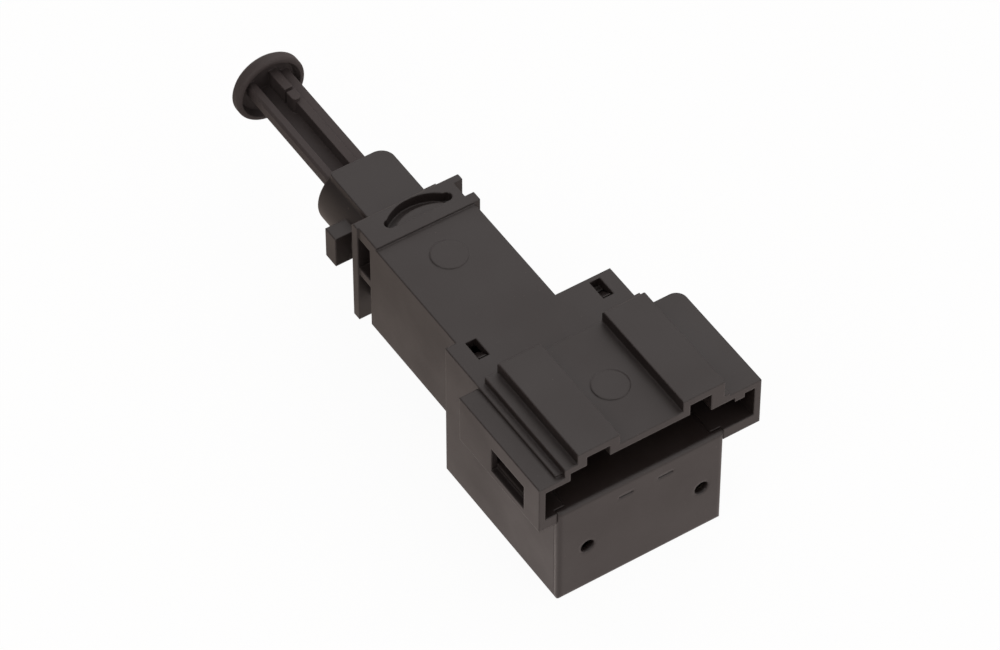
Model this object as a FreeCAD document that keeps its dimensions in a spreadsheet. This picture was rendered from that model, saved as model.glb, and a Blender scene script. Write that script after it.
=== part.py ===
# Plunger switch that works the brake lights of a car.
# Millimetres, +Z up. The plunger's axis is the X axis, and the origin lies on it in the plane of
# the flange face that seats on the pedal bracket. The plunger points to -X, the socket to +X.
import FreeCAD, Part
import os
from types import SimpleNamespace

import Sketcher
from FreeCAD import Vector

driving_sizes = {
    # square body behind the flange
    "body_length": 18.0, "body_width": 14.4, "body_height": 14.85, "body_wall": 1.4,
    # mounting flange: a back plate, a gap bridged by side ribs, and the body's own end
    "flange_depth": 5.3, "flange_plate": 1.25, "flange_gap": 2.6, "flange_width": 14.8,
    "flange_rise": 0.375, "flange_bottom": -8.9, "flange_core": 11.2, "ear_reach": 8.0,
    "ear_height": 4.0, "flange_rib": 1.2, "roof_right": 6.7, "plate_round": 0.5,
    # curved window in the flange's top
    "slot_reach": 4.1, "slot_back_radius": 6.3, "slot_front_radius": 6.6, "slot_width": 1.6,
    "slot_middle": 0.6, "slot_wall": 0.4, "slot_depth": 1.6, "slot_lens_depth": 0.35,
    # neck with its bayonet lugs
    "neck_radius": 5.7, "neck_length": 10.9, "neck_flat": 4.95, "flat_left": -3.95,
    "flat_right": 4.5, "flat_left_corner": 0.6, "flat_right_corner": 1.9,
    "lug_reach": 8.1, "lug_height": 4.9, "right_lug_top": 1.1, "lug_length": 2.3, "lug_gap": 2.9,
    # contact block under and behind the socket
    "block_length": 23.95, "block_left": -8.7, "block_right": 15.2, "block_bottom": -15.0,
    "block_wall": 1.4, "block_step_start": 5.3, "block_step": 0.75,
    # socket shroud over the block, stepped along its top
    "shroud_setback": 7.2, "shroud_overhang": 0.65, "wing_left": -11.35, "wing_right": 20.6,
    "wing_drop": 0.425, "wing_bottom": -0.6, "wing_wall": 0.9, "wing_roof": 0.97,
    "wing_corner": 1.5, "strip_left": -7.7, "strip_rise": 0.975, "strip_wall": 0.8,
    "strip_roof": 1.05, "centre_rise": 0.875, "centre_roof": 1.15, "key_rise": 2.575,
    "key_roof": 1.15, "key_corner": 0.5, "left_key_start": -5.9, "left_key_end": 0.1,
    "left_key_wall": 1.3, "left_key_inner_wall": 1.4, "shelf_start": 9.2,
    "shelf_end": 15.2, "shelf_wall": 1.0, "right_key_width": 3.1, "socket_floor": 1.1,
    "socket_depth": 11.6, "window_setback": 1.2, "window_length": 7.1,
    "window_bottom": 0.5, "window_height": 4.0,
    # small tooth that hangs from the right wing's roof at the socket's mouth
    "wing_tooth_left": 16.8, "wing_tooth_width": 1.4, "wing_tooth_height": 0.7,
    "wing_tooth_length": 3.0,
    # latch slots in the block's top
    "latch_slot_setback": 0.6, "latch_slot_length": 3.1, "latch_slot_width": 1.5,
    "latch_left": -5.5, "latch_right": 12.5, "latch_clearance": 0.12,
    # thin round pads on the tops of the body and the shroud
    "mark_radius": 2.4, "mark_height": 0.1, "body_mark_setback": 5.4,
    "block_mark_setback": 16.3, "block_mark_side": 4.3,
    # cover that closes the block and floors the socket
    "cover_plate": 0.95, "cover_floor": 1.1, "cover_edge": 0.5, "cover_clearance": 0.06,
    "cover_hole_radius": 1.0, "cover_hole_height": -7.4, "cover_hole_left": -4.5,
    "cover_hole_right": 12.1, "cover_slit_height": -1.35, "cover_slit_gauge": 0.28,
    "cover_slit_width": 2.1, "cover_slit_left": 1.0, "cover_slit_right": 6.7,
    # plunger
    "head_radius": 5.05, "head_rim": 1.9, "head_dome": 0.9, "head_reach": 20.3,
    "head_crown_radius": 2.7, "head_shoulder_radius": 4.6, "head_round": 0.45,
    "head_lip": 0.7, "head_hollow": 1.2, "head_hollow_slope": 0.4,
    "rod_width": 6.1, "rod_top": 1.6, "rod_bottom": -0.1, "rod_edge": 0.3,
    "rod_left_rail": 1.15, "rod_right_rail": 2.3, "rod_step": 1.2, "rod_step_depth": 0.2,
    "rod_channel_depth": 1.9, "belly_width": 4.4, "belly_bottom": -1.2,
    "keel_width": 1.8, "keel_bottom": -2.5, "rod_end_gap": 0.5,
    "tooth_pitch": 1.5, "tooth_depth": 0.6, "tooth_count": 9,
    # two stops on the inner edge of the rod's right rail, next to the head
    "stop_overhang": 0.45, "stop_width": 1.2, "stop_height": 0.6, "long_stop_length": 2.7,
    "stop_space": 0.5, "short_stop_length": 1.8,
    # slider
    "slider_bore": 3.62, "slider_tube_wall": 0.6, "slider_clearance": 0.08,
    "slider_side_clearance": 0.3, "slider_setback": 5.0, "slider_tube_setback": 2.4,
    "slider_end_wall": 1.2, "slider_travel": 6.0, "slider_stop_gap": 0.1,
    "slider_plate": 1.6, "slider_rail_width": 2.0, "ratchet_travel": 6.0,
    "slider_floor": 1.3, "slider_floor_width": 8.0, "slider_leg": 1.5, "post_width": 2.0,
    "post_top": -5.0, "post_wall": 0.6,
    # return spring
    "spring_radius": 2.9, "spring_wire": 0.6, "spring_turns": 7.0, "spring_seat_gap": 0.05,
    "spring_boss": 2.2, "spring_boss_length": 1.8,
    # terminals and their carrier
    "pin_pitch": 5.0, "pin_middle": 4.2, "blade_width": 2.8, "blade_gauge": 0.8,
    "blade_height": 4.3, "blade_setback": 4.6, "blade_chamfer": 0.4, "leg_width": 2.2,
    "leg_setback": 2.0, "leg_bottom": -9.6, "far_leg_setback": 2.35, "run_height": -1.2,
    "carrier_depth": 3.5, "carrier_bottom": -3.0, "block_roof": 1.425, "carrier_side_gap": 0.1,
    "arm_width": 1.2, "arm_height": 1.3, "hook_length": 1.8, "hook_height": 1.2,
    "terminal_clearance": 0.04,
    # contacts
    "tip_radius": 0.9, "tip_height": 0.6, "tip_bevel": 0.15, "contact_gap": 0.05, "contact_height": -8.0,
    "bridge_gauge": 0.5, "bridge_height": 2.3, "bridge_overhang": 1.7, "bridge_clearance": 0.05,
    "post_window": 3.7, "contact_spring_radius": 0.8, "contact_spring_wire": 0.24,
    "contact_spring_turns": 5.0,
}


# A number that remembers the sheet expression it came from, so that arithmetic on sizes gives
# both the value for a first sketch and the expression that keeps the model tied to the sheet.
class Size:
    def __init__(self, value, text):
        self.value = value
        self.text = text

    @staticmethod
    def of(thing):
        return thing if isinstance(thing, Size) else Size(float(thing), "(%s)" % repr(float(thing)))

    def joined(self, other, sign, value):
        return Size(value, "(%s %s %s)" % (self.text, sign, other.text))

    def __add__(self, other):
        other = Size.of(other)
        return self.joined(other, "+", self.value + other.value)

    def __sub__(self, other):
        other = Size.of(other)
        return self.joined(other, "-", self.value - other.value)

    def __mul__(self, other):
        other = Size.of(other)
        return self.joined(other, "*", self.value * other.value)

    def __truediv__(self, other):
        other = Size.of(other)
        return self.joined(other, "/", self.value / other.value)

    def __radd__(self, other):
        return Size.of(other) + self

    def __rsub__(self, other):
        return Size.of(other) - self

    def __rmul__(self, other):
        return Size.of(other) * self

    def root(self):
        return Size(self.value ** 0.5, "sqrt(%s)" % self.text)

    def __neg__(self):
        return Size(-self.value, "(-1 * %s)" % self.text)


doc = FreeCAD.newDocument("brake_light_switch")
sheet = doc.addObject("Spreadsheet::Sheet", "Sizes")
for row, (alias, value) in enumerate(driving_sizes.items(), start=1):
    sheet.set("A%d" % row, alias)
    sheet.set("B%d" % row, str(value))
    sheet.setAlias("B%d" % row, alias)
doc.recompute()
mm = SimpleNamespace(**{alias: Size(value, "Sizes." + alias) for alias, value in driving_sizes.items()})

pieces = []


def bind(thing, prop, size):
    thing.setExpression(prop, Size.of(size).text)


def new_body(label):
    body = doc.addObject("PartDesign::Body", label)
    body.Label = label
    pieces.append(body)
    return body


def origin_part(body, role):
    return next(item for item in body.Origin.OriginFeatures if item.Role == role)


def new_sketch(body, role, offset):
    plan = body.newObject("Sketcher::SketchObject", "Sketch")
    plan.AttachmentSupport = [(origin_part(body, role), "")]
    plan.MapMode = "FlatFace"
    bind(plan, "AttachmentOffset.Base.z", offset)
    plan.Visibility = False
    return plan


def pin_point(plan, geometry, point, place):
    for kind, size in zip(("DistanceX", "DistanceY"), place):
        size = Size.of(size)
        rule = Sketcher.Constraint(kind, -1, 1, geometry, point, size.value)
        index = plan.addConstraint(rule)
        plan.setExpression("Constraints[%d]" % index, size.text)


# Closed outline of straight sides through the given corners.
def draw_outline(plan, corners):
    first = plan.GeometryCount
    places = [Vector(Size.of(a).value, Size.of(b).value, 0) for a, b in corners]
    sides = [Part.LineSegment(a, b) for a, b in zip(places, places[1:] + places[:1])]
    plan.addGeometry(sides, False)
    count = len(sides)
    for side in range(count):
        after = first + (side + 1) % count
        plan.addConstraint(Sketcher.Constraint("Coincident", first + side, 2, after, 1))
    for side, corner in enumerate(corners):
        pin_point(plan, first + side, 1, corner)


def draw_circle(plan, centre, radius):
    radius = Size.of(radius)
    place = Vector(Size.of(centre[0]).value, Size.of(centre[1]).value, 0)
    index = plan.addGeometry(Part.Circle(place, Vector(0, 0, 1), radius.value), False)
    pin_point(plan, index, 3, centre)
    rule = plan.addConstraint(Sketcher.Constraint("Radius", index, radius.value))
    plan.setExpression("Constraints[%d]" % rule, radius.text)


def rectangle(left, right, bottom, top):
    return [(left, bottom), (right, bottom), (right, top), (left, top)]


# Solid between two places along an axis, added to the body or cut from it.
# Outlines across X are drawn in (Y, Z), across Z in (X, Y) and across Y in (X, Z).
def prism(body, axis, start, end, outlines=(), circles=(), cut=False):
    role = {"X": "YZ_Plane", "Y": "XZ_Plane", "Z": "XY_Plane"}[axis]
    offset = -Size.of(end) if axis == "Y" else start
    plan = new_sketch(body, role, offset)
    for corners in outlines:
        draw_outline(plan, corners)
    for centre, radius in circles:
        draw_circle(plan, centre, radius)
    feature = body.newObject("PartDesign::Pocket" if cut else "PartDesign::Pad", "Prism")
    feature.Profile = plan
    feature.Reversed = cut
    bind(feature, "Length", Size.of(end) - start)
    body.Tip = feature
    return feature


def revolve(body, outline, cut=False):
    plan = new_sketch(body, "XZ_Plane", 0)
    draw_outline(plan, outline)
    feature = body.newObject("PartDesign::Groove" if cut else "PartDesign::Revolution", "Turned")
    feature.Profile = plan
    feature.ReferenceAxis = (plan, ["H_Axis"])
    feature.Angle = 360
    body.Tip = feature
    return feature


def coil(label, radius, wire, start, end, turns, side, height):
    body = new_body(label)
    plan = new_sketch(body, "XZ_Plane", 0)
    draw_circle(plan, (start + wire / 2, radius), wire / 2)
    feature = body.newObject("PartDesign::AdditiveHelix", "Coil")
    feature.Profile = plan
    feature.ReferenceAxis = (plan, ["H_Axis"])
    feature.Mode = "height-turns-angle"
    bind(feature, "Height", end - start - wire)
    bind(feature, "Turns", turns)
    body.Tip = feature
    bind(body, "Placement.Base.y", side)
    bind(body, "Placement.Base.z", height)
    return body


# Names of the edges of a body's last feature that a test on each edge's end points accepts.
def chosen_edges(feature, accept):
    doc.recompute()
    names = []
    for index, edge in enumerate(feature.Shape.Edges, start=1):
        ends = [vertex.Point for vertex in edge.Vertexes]
        if len(ends) == 2 and accept(ends[0], ends[1]):
            names.append("Edge%d" % index)
    return names


def round_edges(body, radius, accept):
    base = body.Tip
    names = chosen_edges(base, accept)
    feature = body.newObject("PartDesign::Fillet", "Rounding")
    feature.Base = (base, names)
    bind(feature, "Radius", radius)
    body.Tip = feature
    return feature


# Names of the full circles of a body's last feature that a test on place and radius accepts.
def chosen_rims(body, accept):
    doc.recompute()
    names = []
    for index, edge in enumerate(body.Tip.Shape.Edges, start=1):
        if edge.Closed and accept(edge.CenterOfMass.x, edge.Curve.Radius):
            names.append("Edge%d" % index)
    return names


# Rounding or bevel of the given size along the chosen rims of a body.
def soften_rims(body, kind, prop, size, accept):
    base = body.Tip
    names = chosen_rims(body, accept)
    feature = body.newObject("PartDesign::" + kind, "Rim")
    feature.Base = (base, names)
    bind(feature, prop, size)
    body.Tip = feature


def near(a, b):
    return abs(a - Size.of(b).value) < 0.01


def runs_along(start, end, axis):
    step = end - start
    lengths = {"X": abs(step.x), "Y": abs(step.y), "Z": abs(step.z)}
    return all(length < 0.01 for other, length in lengths.items() if other != axis)


# Places shared by several pieces
half_width = mm.body_width / 2
half_height = mm.body_height / 2
flange_top = half_height + mm.flange_rise
wing_top = half_height - mm.wing_drop
strip_top = half_height + mm.strip_rise
centre_top = half_height + mm.centre_rise
key_top = half_height + mm.key_rise
carrier_top = half_height - mm.block_roof
plate_front = mm.flange_plate
body_back = plate_front + mm.flange_gap
body_front = mm.flange_depth + mm.body_length
neck_back = -mm.neck_length
block_end = body_front + mm.block_length
cover_front = block_end + mm.cover_plate
shroud_start = body_front + mm.shroud_setback
shroud_front = block_end + mm.shroud_overhang
socket_end = shroud_front - mm.socket_depth
cavity_half_width = half_width - mm.body_wall
cavity_half_height = half_height - mm.body_wall
cavity_back = mm.flange_depth + mm.body_wall
slider_back = cavity_back + mm.slider_stop_gap
slider_front = body_front - mm.slider_setback
tube_start = neck_back + mm.slider_tube_setback
tube_radius = mm.slider_bore + mm.slider_tube_wall
chamber_back = body_front + mm.block_wall
chamber_left = mm.block_left + mm.block_wall
chamber_right = mm.block_right - mm.block_wall
chamber_bottom = mm.block_bottom + mm.block_wall
carrier_back = socket_end - mm.carrier_depth
near_leg = socket_end - mm.leg_setback
near_leg_face = near_leg + mm.blade_gauge
near_bridge = near_leg_face + 2 * mm.tip_height + mm.contact_gap
far_leg = block_end - mm.far_leg_setback
far_bridge = far_leg - 2 * mm.tip_height - mm.contact_gap - mm.slider_travel - mm.bridge_gauge
blade_tip = shroud_front - mm.blade_setback
head_back = neck_back - mm.head_reach
rod_end = slider_front - mm.slider_end_wall - mm.ratchet_travel - mm.rod_end_gap
near_window = near_bridge - mm.bridge_clearance
far_window = far_bridge + mm.bridge_gauge + mm.bridge_clearance - mm.post_window
pins = [mm.pin_middle + (place - 1.5) * mm.pin_pitch for place in range(4)]
near_post_side = (pins[0] + pins[1]) / 2
far_post_side = (pins[2] + pins[3]) / 2
notch_left = mm.left_key_start + mm.left_key_wall
notch_left_end = mm.left_key_end - mm.left_key_inner_wall
notch_right = mm.shelf_start + mm.shelf_wall
notch_right_end = notch_right + mm.right_key_width
key_ceiling = key_top - mm.key_roof
centre_ceiling = centre_top - mm.centre_roof
wing_ceiling = wing_top - mm.wing_roof
floor_bottom = mm.socket_floor - mm.cover_floor


# Round neck with a flat-topped block along it.
def housing_neck(body):
    flat = rectangle(mm.flat_left, mm.flat_right, 0, mm.neck_flat)
    prism(body, "X", neck_back, 0, [flat])
    for side, radius in ((mm.flat_left, mm.flat_left_corner), (mm.flat_right, mm.flat_right_corner)):
        round_edges(body, radius, lambda a, b: runs_along(a, b, "Z") and near(a.x, neck_back)
                    and near(a.y, side))
    prism(body, "X", neck_back, 0, circles=[((0, 0), mm.neck_radius)])
    above = rectangle(-mm.neck_radius, mm.neck_radius, mm.neck_flat, 2 * mm.neck_radius)
    prism(body, "X", neck_back, 0, [above], cut=True)
    lug_front = -mm.lug_gap
    for reach, top in ((-mm.lug_reach, mm.lug_height / 2), (mm.lug_reach, mm.right_lug_top)):
        corners = rectangle(0, reach, -mm.lug_height / 2, top)
        prism(body, "X", lug_front - mm.lug_length, lug_front, [corners])


def housing_flange(body):
    half_plate = mm.flange_width / 2
    plate = rectangle(-half_plate, half_plate, mm.flange_bottom, flange_top)
    prism(body, "X", 0, plate_front, [plate])
    half_core = mm.flange_core / 2
    core = rectangle(-half_core, half_core, -half_core, flange_top)
    prism(body, "X", 0, mm.flange_depth, [core])
    roof = rectangle(-half_width, mm.roof_right, cavity_half_height, flange_top)
    prism(body, "X", 0, mm.flange_depth, [roof])
    for low, high in ((0, plate_front), (body_back, mm.flange_depth)):
        ear = rectangle(0, mm.ear_reach, mm.ear_height, flange_top)
        prism(body, "X", low, high, [ear])
    rib = rectangle(-half_width, half_width, -mm.flange_rib / 2, mm.flange_rib / 2)
    prism(body, "X", 0, mm.flange_depth, [rib])
    round_edges(body, mm.plate_round, lambda a, b: runs_along(a, b, "Y")
                and near(a.x, 0) and near(a.z, flange_top))


# Window through the flange's top between two arcs that bow away from the body, with round ends,
# and the shallow recess between the front arc and its chord.
def flange_window(body):
    front = mm.slot_wall + mm.slot_width
    back_arc = (mm.slot_wall + mm.slot_back_radius, mm.slot_back_radius)
    front_arc = (front + mm.slot_front_radius, mm.slot_front_radius)
    plan = new_sketch(body, "XY_Plane", flange_top - mm.slot_depth)
    arcs = [draw_bow(plan, centre, radius) for centre, radius in (back_arc, front_arc)]
    for end in (1, 2):
        join_points(plan, arcs[0], end, arcs[1], end)
    cut_upward(body, plan, mm.slot_depth)
    ends = [centre - (radius * radius - mm.slot_reach * mm.slot_reach).root()
            for centre, radius in (back_arc, front_arc)]
    cap_radius = (ends[1] - ends[0]) / 2
    caps = [((ends[0] + cap_radius, mm.slot_middle + side * mm.slot_reach), cap_radius)
            for side in (-1, 1)]
    prism(body, "Z", flange_top - mm.slot_depth, flange_top, circles=caps, cut=True)
    plan = new_sketch(body, "XY_Plane", flange_top - mm.slot_lens_depth)
    bow = draw_bow(plan, *front_arc)
    join_points(plan, bow, 1, bow, 2)
    cut_upward(body, plan, mm.slot_lens_depth)


# Arc that bows to -X, with both ends at the window's half length from its middle.
def draw_bow(plan, centre, radius):
    half_chord = mm.slot_reach.value
    middle = mm.slot_middle.value
    run = (radius.value ** 2 - half_chord ** 2) ** 0.5
    upper = Vector(centre.value - run, middle + half_chord, 0)
    lower = Vector(centre.value - run, middle - half_chord, 0)
    crown = Vector(centre.value - radius.value, middle, 0)
    bow = plan.addGeometry(Part.Arc(upper, crown, lower), False)
    pin_point(plan, bow, 3, (centre, mm.slot_middle))
    rule = plan.addConstraint(Sketcher.Constraint("Radius", bow, radius.value))
    plan.setExpression("Constraints[%d]" % rule, radius.text)
    pin_height(plan, bow, 1, mm.slot_middle + mm.slot_reach)
    pin_height(plan, bow, 2, mm.slot_middle - mm.slot_reach)
    return bow


def pin_height(plan, geometry, point, size):
    rule = plan.addConstraint(Sketcher.Constraint("DistanceY", -1, 1, geometry, point, size.value))
    plan.setExpression("Constraints[%d]" % rule, size.text)


def join_points(plan, first, first_end, second, second_end):
    places = [plan.getPoint(first, first_end), plan.getPoint(second, second_end)]
    link = plan.addGeometry(Part.LineSegment(places[0], places[1]), False)
    plan.addConstraint(Sketcher.Constraint("Coincident", link, 1, first, first_end))
    plan.addConstraint(Sketcher.Constraint("Coincident", link, 2, second, second_end))


def cut_upward(body, plan, depth):
    feature = body.newObject("PartDesign::Pocket", "Prism")
    feature.Profile = plan
    feature.Reversed = True
    bind(feature, "Length", depth)
    body.Tip = feature


def housing_body(body):
    square = rectangle(-half_width, half_width, -half_height, half_height)
    prism(body, "X", body_back, body_front, [square])


def housing_block(body):
    block = rectangle(mm.block_left, mm.block_right, mm.block_bottom, half_height)
    prism(body, "X", body_front, block_end, [block])
    stepped = rectangle(mm.block_right - mm.block_wall, mm.block_right + mm.block_step,
                        mm.wing_bottom, half_height)
    prism(body, "X", body_front + mm.block_step_start, shroud_front, [stepped])


def housing_shroud(body):
    outer = [
        (mm.wing_left, mm.wing_bottom), (mm.wing_right, mm.wing_bottom),
        (mm.wing_right, wing_top), (mm.shelf_end, wing_top),
        (mm.shelf_end, key_top), (mm.shelf_start, key_top),
        (mm.shelf_start, centre_top), (mm.left_key_end, centre_top),
        (mm.left_key_end, key_top), (mm.left_key_start, key_top),
        (mm.left_key_start, strip_top), (mm.strip_left, strip_top),
        (mm.strip_left, wing_top), (mm.wing_left, wing_top),
    ]
    prism(body, "X", shroud_start, shroud_front, [outer])
    round_edges(body, mm.wing_corner, lambda a, b: runs_along(a, b, "Z")
                and near(a.x, shroud_start) and near(a.y, mm.wing_right))
    round_edges(body, mm.key_corner, lambda a, b: runs_along(a, b, "Y")
                and near(a.x, shroud_start) and near(a.z, key_top))


def housing_hollows(body):
    bore = tube_radius + mm.slider_clearance
    prism(body, "X", neck_back, cavity_back, circles=[((0, 0), bore)], cut=True)
    cavity = rectangle(-cavity_half_width, cavity_half_width, -cavity_half_height, cavity_half_height)
    prism(body, "X", cavity_back, chamber_back, [cavity], cut=True)
    chamber = rectangle(chamber_left, chamber_right, chamber_bottom, carrier_top)
    prism(body, "X", chamber_back, socket_end, [chamber], cut=True)
    lower = rectangle(chamber_left, chamber_right, chamber_bottom, mm.socket_floor)
    prism(body, "X", socket_end, block_end, [lower], cut=True)
    seat = rectangle(mm.block_left - mm.cover_clearance, mm.block_right + mm.cover_clearance,
                     mm.wing_bottom, mm.socket_floor)
    prism(body, "X", block_end, shroud_front, [seat], cut=True)
    socket = [
        (mm.wing_left + mm.wing_wall, mm.socket_floor), (mm.wing_right - mm.wing_wall, mm.socket_floor),
        (mm.wing_right - mm.wing_wall, wing_ceiling), (notch_right_end, wing_ceiling),
        (notch_right_end, key_ceiling), (notch_right, key_ceiling),
        (notch_right, centre_ceiling), (notch_left_end, centre_ceiling),
        (notch_left_end, key_ceiling), (notch_left, key_ceiling),
        (notch_left, strip_top - mm.strip_roof),
        (mm.strip_left + mm.strip_wall, strip_top - mm.strip_roof),
        (mm.strip_left + mm.strip_wall, wing_ceiling), (mm.wing_left + mm.wing_wall, wing_ceiling),
    ]
    prism(body, "X", socket_end, cover_front, [socket], cut=True)
    tooth = rectangle(mm.wing_tooth_left, mm.wing_tooth_left + mm.wing_tooth_width,
                      wing_ceiling - mm.wing_tooth_height, wing_ceiling + mm.wing_roof / 2)
    prism(body, "X", shroud_front - mm.wing_tooth_length, shroud_front, [tooth])
    window_start = socket_end + mm.window_setback
    window = rectangle(window_start, window_start + mm.window_length,
                       mm.window_bottom, mm.window_bottom + mm.window_height)
    prism(body, "Y", mm.wing_left, mm.wing_left + mm.wing_wall, [window], cut=True)


def housing_openings(body):
    slot_start = body_front + mm.latch_slot_setback
    slots = [rectangle(slot_start, slot_start + mm.latch_slot_length,
                       side - mm.latch_slot_width / 2, side + mm.latch_slot_width / 2)
             for side in (mm.latch_left, mm.latch_right)]
    prism(body, "Z", carrier_top, half_height, slots, cut=True)
    pad = ((mm.flange_depth + mm.body_mark_setback, 0), mm.mark_radius)
    prism(body, "Z", half_height, half_height + mm.mark_height, circles=[pad])
    pad = ((body_front + mm.block_mark_setback, mm.block_mark_side), mm.mark_radius)
    prism(body, "Z", centre_top, centre_top + mm.mark_height, circles=[pad])


def make_housing():
    body = new_body("housing")
    housing_body(body)
    housing_flange(body)
    flange_window(body)
    housing_neck(body)
    housing_block(body)
    housing_shroud(body)
    housing_hollows(body)
    housing_openings(body)
    return body


def make_cover():
    body = new_body("end_cover")
    plate = rectangle(mm.block_left, mm.block_right, mm.block_bottom, mm.socket_floor)
    prism(body, "X", block_end, cover_front, [plate])
    round_edges(body, mm.cover_edge, lambda a, b: near(a.x, cover_front) and near(b.x, cover_front))
    tongue = rectangle(chamber_left + mm.cover_clearance, chamber_right - mm.cover_clearance,
                       floor_bottom, mm.socket_floor)
    prism(body, "X", socket_end + mm.cover_clearance, block_end, [tongue])
    holes = [((side, mm.cover_hole_height), mm.cover_hole_radius)
             for side in (mm.cover_hole_left, mm.cover_hole_right)]
    prism(body, "X", block_end, cover_front, circles=holes, cut=True)
    half_slit = mm.cover_slit_width / 2
    slits = [rectangle(side - half_slit, side + half_slit, mm.cover_slit_height - mm.cover_slit_gauge / 2,
                       mm.cover_slit_height + mm.cover_slit_gauge / 2)
             for side in (mm.cover_slit_left, mm.cover_slit_right)]
    prism(body, "X", block_end, cover_front, slits, cut=True)
    return body


def make_carrier():
    body = new_body("terminal_carrier")
    wall = rectangle(chamber_left + mm.carrier_side_gap, chamber_right - mm.carrier_side_gap,
                     mm.carrier_bottom, carrier_top)
    prism(body, "X", carrier_back, socket_end, [wall])
    half_arm = mm.arm_width / 2
    arm_bottom = carrier_top - mm.arm_height
    arms = [rectangle(side - half_arm, side + half_arm, arm_bottom, carrier_top)
            for side in (mm.latch_left, mm.latch_right)]
    hook_start = chamber_back + mm.latch_clearance
    prism(body, "X", hook_start, carrier_back, arms)
    hook = [(hook_start, carrier_top), (hook_start + mm.hook_length, carrier_top),
            (hook_start + mm.hook_length, carrier_top + mm.hook_height)]
    for side in (mm.latch_left, mm.latch_right):
        prism(body, "Y", side - half_arm, side + half_arm, [hook])
    prism(body, "X", carrier_back - mm.spring_boss_length, carrier_back,
          circles=[((0, 0), mm.spring_boss)])
    gap = mm.terminal_clearance
    blade_low = mm.blade_height - mm.blade_gauge / 2 - gap
    blade_high = mm.blade_height + mm.blade_gauge / 2 + gap
    run_low = mm.run_height - mm.blade_gauge / 2 - gap
    run_high = mm.run_height + mm.blade_gauge / 2 + gap
    for place, side in enumerate(pins):
        blade_slot = rectangle(near_leg - gap, socket_end, blade_low, blade_high)
        prism(body, "Y", side - mm.blade_width / 2 - gap, side + mm.blade_width / 2 + gap,
              [blade_slot], cut=True)
        leg_low = mm.carrier_bottom if place < 2 else run_low
        leg_slot = rectangle(near_leg - gap, near_leg_face + gap, leg_low, blade_low)
        span = (side - mm.leg_width / 2 - gap, side + mm.leg_width / 2 + gap)
        prism(body, "Y", span[0], span[1], [leg_slot], cut=True)
        if place >= 2:
            run_slot = rectangle(near_leg_face + gap, socket_end, run_low, run_high)
            prism(body, "Y", span[0], span[1], [run_slot], cut=True)
    return body


def make_terminal(place, side):
    body = new_body("terminal_%d" % (place + 1))
    low = mm.blade_height - mm.blade_gauge / 2
    high = mm.blade_height + mm.blade_gauge / 2
    blade = [
        (near_leg, low), (blade_tip - mm.blade_chamfer, low),
        (blade_tip, low + mm.blade_gauge / 4), (blade_tip, high - mm.blade_gauge / 4),
        (blade_tip - mm.blade_chamfer, high), (near_leg, high),
    ]
    prism(body, "Y", side - mm.blade_width / 2, side + mm.blade_width / 2, [blade])
    run_low = mm.run_height - mm.blade_gauge / 2
    run_high = mm.run_height + mm.blade_gauge / 2
    near_path = rectangle(near_leg, near_leg_face, mm.leg_bottom, low)
    far_path = [
        (near_leg, run_low), (far_leg, run_low), (far_leg, mm.leg_bottom),
        (far_leg + mm.blade_gauge, mm.leg_bottom), (far_leg + mm.blade_gauge, run_high),
        (near_leg_face, run_high), (near_leg_face, low), (near_leg, low),
    ]
    path = near_path if place < 2 else far_path
    prism(body, "Y", side - mm.leg_width / 2, side + mm.leg_width / 2, [path])
    return body


# Round contact tips, riveted to a face at the given place and rising along X from it.
def make_tips(label, sides, base, face_direction):
    face = base + face_direction * mm.tip_height
    low, high = (base, face) if face_direction > 0 else (face, base)
    for number, side in enumerate(sides, start=1):
        body = new_body("%s_%d" % (label, number))
        prism(body, "X", low, high, circles=[((side, mm.contact_height), mm.tip_radius)])
        soften_rims(body, "Chamfer", "Size", mm.tip_bevel, lambda place, radius: near(place, face))


# Strip that carries two contact tips and is held in a window of the slider.
def make_bridge(label, middle, start):
    body = new_body(label)
    reach = mm.pin_pitch / 2 + mm.bridge_overhang
    strip = rectangle(middle - reach, middle + reach, mm.contact_height - mm.bridge_height / 2,
                      mm.contact_height + mm.bridge_height / 2)
    prism(body, "X", start, start + mm.bridge_gauge, [strip])
    round_edges(body, mm.bridge_height / 3, lambda a, b: runs_along(a, b, "X"))


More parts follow.
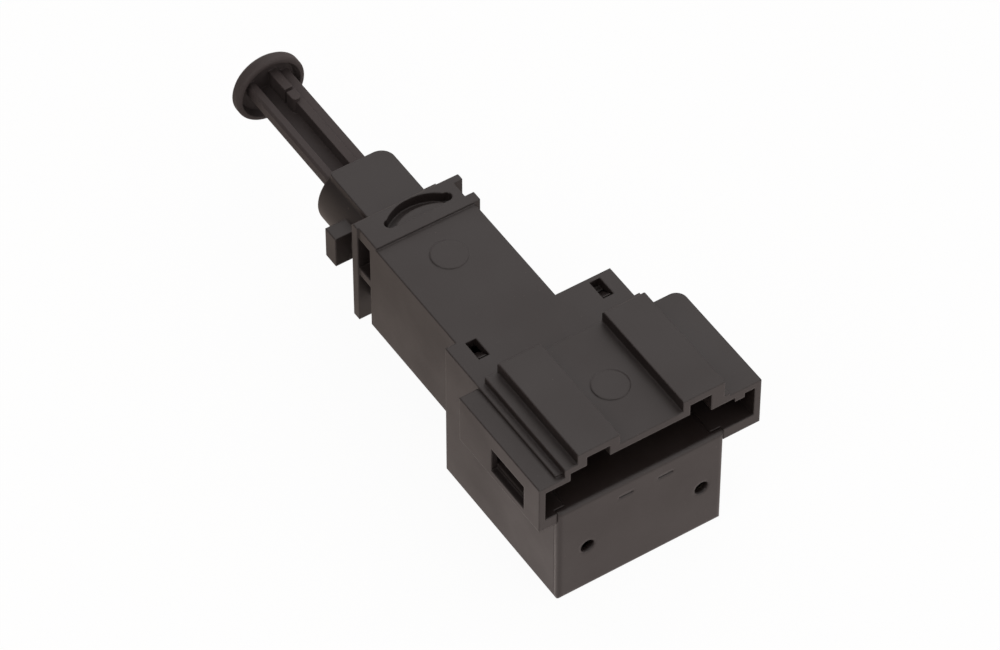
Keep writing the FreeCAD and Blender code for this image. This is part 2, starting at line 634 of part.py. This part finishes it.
def make_plunger():
    body = new_body("plunger")
    rim_front = head_back
    rim_back = rim_front - mm.head_rim
    dome = rim_back - mm.head_dome
    half_rod = mm.rod_width / 2
    lip_radius = mm.head_radius - mm.head_lip
    hollow = rim_front - mm.head_hollow
    profile = [
        (dome, 0), (dome + mm.head_dome / 6, mm.head_crown_radius),
        (rim_back, mm.head_shoulder_radius), (rim_back + mm.head_rim / 4, mm.head_radius),
        (rim_front, mm.head_radius), (rim_front, lip_radius),
        (hollow, lip_radius - mm.head_hollow_slope), (hollow, 0),
    ]
    revolve(body, profile)
    soften_rims(body, "Fillet", "Radius", mm.head_round,
                lambda place, radius: near(radius, mm.head_radius))
    channel_left = mm.rod_left_rail - half_rod
    channel_right = half_rod - mm.rod_right_rail
    channel_floor = mm.rod_top - mm.rod_channel_depth
    step_side = half_rod - mm.rod_step
    step_top = mm.rod_top - mm.rod_step_depth
    half_belly = mm.belly_width / 2
    half_keel = mm.keel_width / 2
    section = [
        (-half_rod, mm.rod_bottom), (-half_belly, mm.rod_bottom), (-half_belly, mm.belly_bottom),
        (-half_keel, mm.belly_bottom), (-half_keel, mm.keel_bottom), (half_keel, mm.keel_bottom),
        (half_keel, mm.belly_bottom), (half_belly, mm.belly_bottom), (half_belly, mm.rod_bottom),
        (half_rod, mm.rod_bottom), (half_rod, step_top), (step_side, step_top),
        (step_side, mm.rod_top), (channel_right, mm.rod_top), (channel_right, channel_floor),
        (channel_left, channel_floor), (channel_left, mm.rod_top),
        (mm.rod_edge - half_rod, mm.rod_top), (-half_rod, mm.rod_top - mm.rod_edge),
    ]
    prism(body, "X", hollow, rod_end, [section])
    stop_left = channel_right - mm.stop_overhang
    stop_right = stop_left + mm.stop_width
    stop_top = mm.rod_top + mm.stop_height
    long_end = rim_front + mm.long_stop_length
    stop = rectangle(stop_left, stop_right, channel_floor, stop_top)
    prism(body, "X", hollow, long_end, [stop])
    half_stop = mm.stop_width / 2
    round_end = long_end + mm.stop_space + mm.short_stop_length - half_stop
    short_stop = rectangle(long_end + mm.stop_space, round_end, stop_left, stop_right)
    prism(body, "Z", channel_floor, stop_top, [short_stop])
    prism(body, "Z", channel_floor, stop_top, circles=[((round_end, stop_left + half_stop), half_stop)])
    return body


def plunger_teeth(body):
    # Saw-tooth rack cut into the keel, steep on the side that faces the head.
    first = rod_end - mm.tooth_pitch
    notch = [(first, mm.keel_bottom), (first + mm.tooth_pitch, mm.keel_bottom),
             (first, mm.keel_bottom + mm.tooth_depth)]
    tooth = prism(body, "Y", -mm.keel_width / 2, mm.keel_width / 2, [notch], cut=True)
    pattern = body.newObject("PartDesign::LinearPattern", "Rack")
    pattern.Originals = [tooth]
    pattern.Direction = (origin_part(body, "X_Axis"), [""])
    pattern.Reversed = True
    bind(pattern, "Length", (mm.tooth_count - 1) * mm.tooth_pitch)
    bind(pattern, "Occurrences", mm.tooth_count)
    body.Tip = pattern


def make_slider():
    body = new_body("slider")
    half_block = cavity_half_width - mm.slider_side_clearance
    block_high = cavity_half_height - mm.slider_side_clearance
    block = rectangle(-half_block, half_block, -block_high, block_high)
    prism(body, "X", slider_back, slider_back + mm.slider_plate, [block])
    prism(body, "X", slider_front - mm.slider_plate, slider_front, [block])
    prism(body, "X", tube_start, slider_front - mm.slider_plate, circles=[((0, 0), tube_radius)])
    half_rail = mm.slider_rail_width / 2
    flat_rail = rectangle(-half_block, half_block, -half_rail, half_rail)
    upright_rail = rectangle(-half_rail, half_rail, -block_high, block_high)
    for rail in (flat_rail, upright_rail):
        prism(body, "X", slider_back, slider_front - mm.slider_plate, [rail])
    prism(body, "X", tube_start, slider_front - mm.slider_end_wall,
          circles=[((0, 0), mm.slider_bore)], cut=True)
    prism(body, "X", slider_front, slider_front + mm.spring_boss_length,
          circles=[((0, 0), mm.spring_boss)])
    half_floor = mm.slider_floor_width / 2
    leg_start = chamber_back + mm.slider_side_clearance
    leg_front = leg_start + mm.slider_leg
    rib = rectangle(-half_floor, half_floor, -block_high, mm.slider_floor - block_high)
    prism(body, "X", slider_front, leg_front, [rib])
    plate_low = chamber_bottom + mm.slider_side_clearance
    plate_high = plate_low + mm.slider_floor
    leg = rectangle(-half_floor, half_floor, plate_low, mm.slider_floor - block_high)
    prism(body, "X", leg_start, leg_front, [leg])
    plate_front_end = near_window + mm.post_window + mm.post_wall
    plate = rectangle(-half_floor, far_post_side + mm.post_width, plate_low, plate_high)
    prism(body, "X", leg_start, plate_front_end, [plate])
    half_post = mm.post_width / 2
    window_low = mm.contact_height - mm.bridge_height / 2 - mm.bridge_clearance
    window_high = mm.contact_height + mm.bridge_height / 2 + mm.bridge_clearance
    for side, window in ((near_post_side, near_window), (far_post_side, far_window)):
        post = rectangle(window - mm.post_wall, window + mm.post_window + mm.post_wall,
                         plate_low, mm.post_top)
        prism(body, "Y", side - half_post, side + half_post, [post])
        opening = rectangle(window, window + mm.post_window, window_low, window_high)
        prism(body, "Y", side - half_post, side + half_post, [opening], cut=True)
    return body


def make_springs():
    gap = mm.spring_seat_gap
    coil("return_spring", mm.spring_radius, mm.spring_wire, slider_front + gap, carrier_back - gap,
         mm.spring_turns, 0, 0)
    near_start = near_bridge + mm.bridge_gauge + gap
    coil("contact_spring_closed", mm.contact_spring_radius, mm.contact_spring_wire, near_start,
         near_window + mm.post_window - gap, mm.contact_spring_turns, near_post_side,
         mm.contact_height)
    coil("contact_spring_open", mm.contact_spring_radius, mm.contact_spring_wire, far_window + gap,
         far_bridge - gap, mm.contact_spring_turns, far_post_side, mm.contact_height)


make_housing()
make_cover()
make_carrier()
for place, side in enumerate(pins):
    make_terminal(place, side)
make_tips("closed_contact_tip", pins[:2], near_leg_face, 1)
make_tips("open_contact_tip", pins[2:], far_leg, -1)
make_bridge("bridge_closed", near_post_side, near_bridge)
make_tips("bridge_closed_tip", pins[:2], near_bridge, -1)
make_bridge("bridge_open", far_post_side, far_bridge)
make_tips("bridge_open_tip", pins[2:], far_bridge + mm.bridge_gauge, 1)
plunger_teeth(make_plunger())
make_slider()
make_springs()

doc.recompute()
for item in doc.Objects:
    if "Invalid" in item.State or "Error" in item.State:
        raise RuntimeError("%s (%s) did not build: %s" % (item.Name, item.Label, item.State))
for body in pieces:
    before = 0
    for feature in body.Group:
        if not hasattr(feature, "AddSubShape"):
            continue
        volume = feature.Shape.Volume
        cuts = feature.isDerivedFrom("PartDesign::Pocket") or feature.isDerivedFrom("PartDesign::Groove")
        if (cuts and volume >= before) or (not cuts and "Prism" in feature.Name and volume <= before):
            raise RuntimeError("%s in %s has no effect" % (feature.Name, body.Label))
        before = volume
    if body.Shape.isNull() or not body.Shape.isValid():
        raise RuntimeError("%s is not a valid solid" % body.Label)

os.makedirs("parts", exist_ok=True)
for body in pieces:
    body.Shape.exportStep("parts/%s.step" % body.Label)
    print("%-24s %d solid, %8.2f mm3" % (body.Label, len(body.Shape.Solids), body.Shape.Volume))
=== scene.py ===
import bpy
import numpy as np
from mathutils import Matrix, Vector


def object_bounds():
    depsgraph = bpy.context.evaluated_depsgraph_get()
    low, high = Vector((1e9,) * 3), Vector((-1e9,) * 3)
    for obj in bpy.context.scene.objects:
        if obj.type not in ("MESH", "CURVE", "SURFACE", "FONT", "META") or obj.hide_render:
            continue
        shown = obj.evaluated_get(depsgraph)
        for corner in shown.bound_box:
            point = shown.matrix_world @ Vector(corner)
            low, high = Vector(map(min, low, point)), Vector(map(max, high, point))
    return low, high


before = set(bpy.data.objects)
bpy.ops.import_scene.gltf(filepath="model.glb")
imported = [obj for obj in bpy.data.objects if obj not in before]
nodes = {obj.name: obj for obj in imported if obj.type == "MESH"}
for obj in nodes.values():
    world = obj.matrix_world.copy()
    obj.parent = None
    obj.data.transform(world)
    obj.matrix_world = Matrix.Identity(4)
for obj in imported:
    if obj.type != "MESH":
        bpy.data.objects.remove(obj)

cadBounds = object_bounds()
print("frame loaded with", len(nodes), "nodes")


# A shader socket that takes plain arithmetic: every operator adds its own Math node.
class Wire:
    def __init__(self, finish, socket):
        self.finish = finish
        self.socket = socket

    def math(self, operation, first, second):
        return self.finish.node("Math", {"operation": operation}, {0: first, 1: second})

    def __add__(self, other):
        return self.math("ADD", self, other)

    def __radd__(self, other):
        return self.math("ADD", other, self)

    def __sub__(self, other):
        return self.math("SUBTRACT", self, other)

    def __rsub__(self, other):
        return self.math("SUBTRACT", other, self)

    def __mul__(self, other):
        return self.math("MULTIPLY", self, other)

    def __rmul__(self, other):
        return self.math("MULTIPLY", other, self)

    def band(self, low, high):  # 0 below low, 1 above high, a straight ramp between
        return self.finish.node("MapRange", {"clamp": True},
                                {0: self, 1: low, 2: high, 3: 0.0, 4: 1.0})


noiseRoughness = 0.55  # how strongly each finer layer of a noise shows
edgeSamples = 6


# The node tree of one material or of the world. node() adds any node: its settings first, then
# its sockets.
class Finish:
    def __init__(self, owner):
        owner.use_nodes = True
        self.owner = owner
        self.tree = owner.node_tree
        self.tree.nodes.clear()
        self.place = self.node("TexCoord", output="Object")

    def node(self, kind, settings=None, inputs=None, output=0):
        made = self.tree.nodes.new("ShaderNode" + kind)
        for key, value in (settings or {}).items():
            setattr(made, key, value)
        for key, value in (inputs or {}).items():
            if isinstance(value, Wire):
                self.tree.links.new(value.socket, made.inputs[key])
            else:
                made.inputs[key].default_value = value
        return Wire(self, made.outputs[output]) if made.outputs else None

    def noise(self, perMetre, detail, stretch=(1, 1, 1)):
        place = self.place
        if stretch != (1, 1, 1):
            place = self.node("Mapping", {"vector_type": "POINT"}, {0: place, 3: stretch})
        return self.node("TexNoise", {"noise_dimensions": "3D"},
                         {"Vector": place, "Scale": perMetre, "Detail": detail, "Roughness": noiseRoughness})

    def blend(self, factor, under, over):
        return self.node("Mix", {"data_type": "RGBA"}, {0: factor, 6: under, 7: over}, output=2)

    def rounded(self, radius):  # surface normal as if every sharp edge had this radius
        return self.node("Bevel", {"samples": edgeSamples}, {"Radius": radius})

    def edgeMask(self, softNormal):  # 0 on flats, rising where the rounded normal leaves the true one
        true = self.node("NewGeometry", output="Normal")
        same = self.node("VectorMath", {"operation": "DOT_PRODUCT"}, {0: softNormal, 1: true},
                         output="Value")
        return 1.0 - same

    def bump(self, height, distance, strength, normal=None):
        sockets = {"Height": height, "Distance": distance, "Strength": strength}
        if normal is not None:
            sockets["Normal"] = normal
        return self.node("Bump", None, sockets)

    def surface(self, **sockets):
        named = {key.replace("_", " "): value for key, value in sockets.items()}
        shader = self.node("BsdfPrincipled", None, named)
        self.node("OutputMaterial", None, {"Surface": shader})
        return self.owner


def newFinish(name):
    return Finish(bpy.data.materials.new(name))


def dress(material, *names):
    for name in names:
        mesh = nodes[name].data
        mesh.materials.clear()
        mesh.materials.append(material)


# Warm black glass-filled plastic straight from the mould: fine spark-eroded grain, a slow
# waviness from shrinkage, paler rubbed edges, and a little dust that settled on the faces.
# A pair under a name that ends in Band is where that noise starts and where it is full.
mouldedPlastic = {
    "colour": (0.0120, 0.0082, 0.0075, 1), "paleColour": (0.0170, 0.0125, 0.0115, 1),
    "rubbedColour": (0.042, 0.033, 0.030, 1), "dustColour": (0.16, 0.13, 0.115, 1),
    "roughness": 0.44, "roughnessSpread": 0.12, "sheen": 0.5, "lightBending": 1.5,
    "edgeRadius": 0.00034, "edgeBand": (0.03, 0.30),
    "patchPerMetre": 75, "patchDetail": 3.0, "patchBand": (0.35, 0.68), "patchShare": 0.6,
    "grainPerMetre": 5200, "grainDetail": 3.0, "grainShare": 0.4,
    "grainDepth": 0.000012, "grainStrength": 0.55,
    "wavePerMetre": 260, "waveDetail": 2.0, "waveDepth": 0.00006, "waveStrength": 0.25,
    "dustPerMetre": 2600, "dustDetail": 1.0, "dustBand": (0.75, 0.80),
    "driftPerMetre": 310, "driftDetail": 2.0, "driftBand": (0.45, 0.70),
    "dustCover": 0.5, "dustRoughness": 0.2,
    "wearPerMetre": 900, "wearDetail": 3.0, "wearBand": (0.30, 0.62),
    "wearCover": 0.55, "wearPolish": 0.12,
}


def makeMouldedPlastic(name, change):
    look = {**mouldedPlastic, **change}
    finish = newFinish(name)

    def speckle(kind):
        return finish.noise(look[kind + "PerMetre"], look[kind + "Detail"])

    soft = finish.rounded(look["edgeRadius"])
    patches = speckle("patch").band(*look["patchBand"])
    grain = speckle("grain")
    wave = speckle("wave")
    dust = speckle("dust").band(*look["dustBand"]) * speckle("drift").band(*look["driftBand"])
    rubbed = finish.edgeMask(soft).band(*look["edgeBand"]) * speckle("wear").band(*look["wearBand"])
    tone = patches * look["patchShare"] + grain * look["grainShare"]
    colour = finish.blend(tone, look["colour"], look["paleColour"])
    colour = finish.blend(rubbed * look["wearCover"], colour, look["rubbedColour"])
    colour = finish.blend(dust * look["dustCover"], colour, look["dustColour"])
    roughness = look["roughness"] + look["roughnessSpread"] * (patches - 0.5)
    roughness = roughness + dust * look["dustRoughness"] - rubbed * look["wearPolish"]
    normal = finish.bump(wave, look["waveDepth"], look["waveStrength"], soft)
    normal = finish.bump(grain, look["grainDepth"], look["grainStrength"], normal)
    return finish.surface(Base_Color=colour, Roughness=roughness, Normal=normal, IOR=look["lightBending"],
                          Specular_IOR_Level=look["sheen"])


dress(makeMouldedPlastic("housingPlastic", {}), "housing")
dress(makeMouldedPlastic("coverPlastic", {"roughness": 0.40, "patchPerMetre": 120, "edgeRadius": 0.0007}),
      "end_cover")
# The plunger is moulded in a duller, slightly paler grade, so that it slides dry.
dress(makeMouldedPlastic("plungerPlastic", {
    "colour": (0.0340, 0.0265, 0.0260, 1), "paleColour": (0.0480, 0.0390, 0.0380, 1),
    "rubbedColour": (0.085, 0.070, 0.066, 1), "roughness": 0.60, "sheen": 0.30, "edgeRadius": 0.00018,
    "waveStrength": 0.5, "grainPerMetre": 4300}), "plunger")
dress(makeMouldedPlastic("carrierPlastic", {"roughness": 0.46}), "terminal_carrier")
dress(makeMouldedPlastic("sliderPlastic", {"roughness": 0.38}), "slider")
print("plastics done")


# Bare metal, rolled or drawn: its fine lines run along the axis with the smallest stretch value.
bareMetals = {
    "tinnedBrass": {"colour": (0.72, 0.66, 0.52, 1), "dullColour": (0.46, 0.40, 0.29, 1), "roughness": 0.30,
                    "linesPerMetre": 9000, "stretch": (0.04, 1, 1),
                    "nodes": ["terminal_%d" % number for number in range(1, 5)]},
    "springCopper": {"colour": (0.80, 0.47, 0.30, 1), "dullColour": (0.48, 0.25, 0.15, 1), "roughness": 0.34,
                     "linesPerMetre": 8000, "stretch": (1, 0.05, 1),
                     "nodes": ["bridge_closed", "bridge_open"]},
    "contactSilver": {"colour": (0.86, 0.85, 0.82, 1), "dullColour": (0.52, 0.50, 0.46, 1), "roughness": 0.26,
                      "linesPerMetre": 4000, "stretch": (1, 1, 1),
                      "nodes": [name for name in nodes if "_tip_" in name]},
    "springSteel": {"colour": (0.58, 0.58, 0.59, 1), "dullColour": (0.30, 0.29, 0.28, 1), "roughness": 0.28,
                    "linesPerMetre": 7000, "stretch": (1, 0.3, 0.3),
                    "nodes": [name for name in nodes if "spring" in name]},
}


# What all the metals share: a tiny edge rounding, tarnish in patches and the depth of the lines.
bareMetalSurface = {
    "edgeRadius": 0.00008, "lineDetail": 2.0, "lineShare": 0.2, "lineRoughness": 0.12,
    "lineDepth": 0.000006, "lineStrength": 0.4,
    "tarnishPerMetre": 420, "tarnishDetail": 4.0, "tarnishBand": (0.42, 0.72),
    "tarnishShare": 0.55, "tarnishRoughness": 0.18,
}


def makeBareMetal(name, look):
    shared = bareMetalSurface
    finish = newFinish(name)
    soft = finish.rounded(shared["edgeRadius"])
    lines = finish.noise(look["linesPerMetre"], shared["lineDetail"], look["stretch"])
    tarnish = finish.noise(shared["tarnishPerMetre"], shared["tarnishDetail"]).band(*shared["tarnishBand"])
    dullness = tarnish * shared["tarnishShare"] + lines * shared["lineShare"]
    colour = finish.blend(dullness, look["colour"], look["dullColour"])
    roughness = look["roughness"] + tarnish * shared["tarnishRoughness"]
    roughness = roughness + (lines - 0.5) * shared["lineRoughness"]
    normal = finish.bump(lines, shared["lineDepth"], shared["lineStrength"], soft)
    return finish.surface(Base_Color=colour, Metallic=1.0, Roughness=roughness, Normal=normal)


for metalName, metalLook in bareMetals.items():
    dress(makeBareMetal(metalName, metalLook), *metalLook["nodes"])
print("metals done")


# The camera stands where the photograph was taken from: high on the cover's side.
view = {"place": (0.39454, -0.24314, 0.50794), "ahead": (-0.5549, 0.3622, -0.7490), "focalLength": 198.97,
        "sensorWidth": 36.0, "nearest": 0.05, "furthest": 10.0}
lens = bpy.data.cameras.new("lens")
lens.sensor_fit = "HORIZONTAL"
lens.sensor_width = view["sensorWidth"]
lens.lens = view["focalLength"]
lens.clip_start = view["nearest"]
lens.clip_end = view["furthest"]
camera = bpy.data.objects.new("camera", lens)
camera.location = view["place"]
camera.rotation_euler = Vector(view["ahead"]).to_track_quat("-Z", "Y").to_euler()
bpy.context.scene.collection.objects.link(camera)
bpy.context.scene.camera = camera
print("camera done")


# Pale sheet the part lies on: white to the camera, shaded a little where the part shades it, and in the
# part's gloss a painted reflection, a warm grey that is paler in front of the socket than behind the plunger.
paper = {"colour": (0.86, 0.86, 0.86, 1), "fibreColour": (0.80, 0.80, 0.79, 1), "fibresPerMetre": 900,
         "fibreDetail": 3.0, "fibreShare": 0.05, "halfSize": 3.0, "lines": 9, "drop": 0.00002,
         "glowShare": 0.95, "seenColour": (1, 1, 1, 1),
         # painted reflection: the grey that the part's gloss sees in the sheet, behind the plunger and in
         # front of the socket
         "paintedReflectionRear": (0.58, 0.49, 0.44, 1), "paintedReflectionFront": (0.90, 0.79, 0.755, 1),
         "rearOf": -0.012, "frontOf": 0.052}


def makeSheet(name, half, height, count):
    # count by count points: x and y each run evenly from minus half to half, and z is height
    across = np.linspace(-half, half, count)
    x, y = np.meshgrid(across, across, indexing="ij")
    points = np.stack([x, y, np.full_like(x, height)], axis=-1).reshape(-1, 3)
    corner = (np.arange(count - 1)[:, None] * count + np.arange(count - 1)[None, :]).ravel()
    faces = np.stack([corner, corner + count, corner + count + 1, corner + 1], axis=-1)
    mesh = bpy.data.meshes.new(name)
    mesh.from_pydata(points.tolist(), [], faces.tolist())
    made = bpy.data.objects.new(name, mesh)
    bpy.context.scene.collection.objects.link(made)
    return made


def makePaper():
    finish = newFinish("paper")
    straight = finish.node("LightPath", output="Is Camera Ray")
    gloss = finish.node("LightPath", output="Is Glossy Ray")
    through = finish.node("LightPath", output="Is Transmission Ray")
    seen = finish.node("Math", {"operation": "MINIMUM"},
                       {0: straight * paper["glowShare"] + gloss + through, 1: 1.0})
    fibres = finish.noise(paper["fibresPerMetre"], paper["fibreDetail"])
    tone = finish.blend(fibres * paper["fibreShare"], paper["colour"], paper["fibreColour"])
    matt = finish.node("BsdfDiffuse", None, {"Color": tone, "Roughness": 0.0})
    forward = finish.node("SeparateXYZ", None, {0: finish.place}, output="X")
    # painted reflection: the sheet's colour in the part's gloss, paler towards the socket end along X
    along = forward.band(paper["rearOf"], paper["frontOf"])
    paintedReflection = finish.blend(along, paper["paintedReflectionRear"], paper["paintedReflectionFront"])
    glowTone = finish.blend(gloss, paper["seenColour"], paintedReflection)
    glow = finish.node("Emission", None, {"Color": glowTone, "Strength": 1.0})
    mixed = finish.node("MixShader", None, {0: seen, 1: matt, 2: glow})
    finish.node("OutputMaterial", None, {"Surface": mixed})
    return finish.owner


floor = makeSheet("floor", paper["halfSize"], cadBounds[0][2] - paper["drop"], paper["lines"])
floor.data.materials.append(makePaper())
print("floor done")


# Light tent: a broad lamp overhead, one high on the left and one in front of the socket.
lamps = {
    "overhead": {"place": (-0.15, 0.30, 0.85), "size": 0.9, "power": 1.5, "colour": (1.0, 0.97, 0.95)},
    "left": {"place": (0.30, -0.70, 0.68), "size": 0.6, "power": 3.6, "colour": (1.0, 0.95, 0.915)},
    "right": {"place": (0.95, 0.45, 0.40), "size": 0.7, "power": 1.0, "colour": (1.0, 0.975, 0.955)},
}
middle = Vector((0.01, 0.004, 0.0))
for lampName, lamp in lamps.items():
    light = bpy.data.lights.new(lampName, "AREA")
    light.shape = "SQUARE"
    light.size = lamp["size"]
    light.energy = lamp["power"]
    light.color = lamp["colour"]
    holder = bpy.data.objects.new(lampName, light)
    holder.location = lamp["place"]
    holder.rotation_euler = (middle - holder.location).to_track_quat("-Z", "Y").to_euler()
    bpy.context.scene.collection.objects.link(holder)

# Walls of the tent: bright above and behind the part, and dark on the side that its left edges
# mirror, by how far the direction leans along Y.
tent = {"brightColour": (1.0, 0.935, 0.925, 1), "bright": 0.92, "darkColour": (1.0, 0.95, 0.92, 1),
        "dark": 0.18, "darkLeftOf": -0.42, "brightRightOf": 0.06}
walls = Finish(bpy.data.worlds.new("tent"))
direction = walls.node("TexCoord", output="Generated")
sideways = walls.node("SeparateXYZ", None, {0: direction}, output="Y")
lean = sideways.band(tent["darkLeftOf"], tent["brightRightOf"])
darkWall = walls.node("Background", None, {"Color": tent["darkColour"], "Strength": tent["dark"]})
brightWall = walls.node("Background", None, {"Color": tent["brightColour"], "Strength": tent["bright"]})
sky = walls.node("MixShader", None, {0: lean, 1: darkWall, 2: brightWall})
walls.node("OutputWorld", None, {"Surface": sky})
bpy.context.scene.world = walls.owner
bpy.context.scene.view_settings.view_transform = "Standard"
print("lights done")
